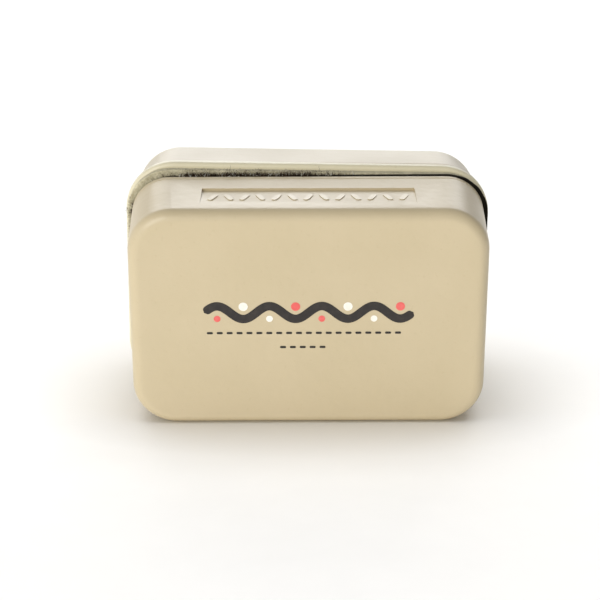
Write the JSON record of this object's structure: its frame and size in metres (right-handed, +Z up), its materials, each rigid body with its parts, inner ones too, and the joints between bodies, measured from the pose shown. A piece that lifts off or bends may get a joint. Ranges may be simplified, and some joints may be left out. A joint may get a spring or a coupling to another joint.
{
  "type": "magnetic glass cleaner",
  "caption": "Two rounded plastic halves, one dry and one that floats, held pad to pad by magnets to scrub an aquarium's glass from both sides.",
  "frame": {"origin": "on the ground under the middle of the clamped pair, level with the lowest side of the float's rim", "axes": "+X along the length, +Y from the handle's face towards the float's rear face, +Z up"},
  "size_m": [0.0958, 0.053, 0.0637],
  "materials": {
    "handle_plastic": "satin moulded plastic, beige",
    "float_plastic": "satin moulded plastic, pale beige",
    "felt": "dense black felt",
    "scrub_pile": "coarse grey-olive scrubbing pile",
    "adhesive_film": "clear double-sided film",
    "seam_cement": "glossy cement bead",
    "ferrite": "sintered, dark grey",
    "plated_steel": "zinc plated sheet",
    "foam": "white closed-cell foam"
  },
  "bodies": {
    "handle": {"handle_shell": "handle_plastic", "handle_base": "handle_plastic", "handle_magnet_1": "ferrite", "handle_magnet_2": "ferrite", "handle_magnet_3": "ferrite", "handle_magnet_4": "ferrite", "handle_yoke": "plated_steel", "handle_foam_spacer": "foam", "handle_pad_adhesive": "adhesive_film", "handle_felt_pad": "felt"},
    "float": {"float_scrub_pad": "scrub_pile", "float_pad_adhesive": "adhesive_film", "float_base": "float_plastic", "float_seam_seal": "seam_cement", "float_shell": "float_plastic", "float_magnet_1": "ferrite", "float_magnet_2": "ferrite", "float_magnet_3": "ferrite", "float_magnet_4": "ferrite", "float_yoke": "plated_steel", "float_foam_block": "foam"}
  },
  "joints": [
    {"name": "float_pull_off", "type": "slide", "parent": "handle", "child": "float", "axis": [0, 1, 0], "range_m": [0, 0.06]}
  ]
}
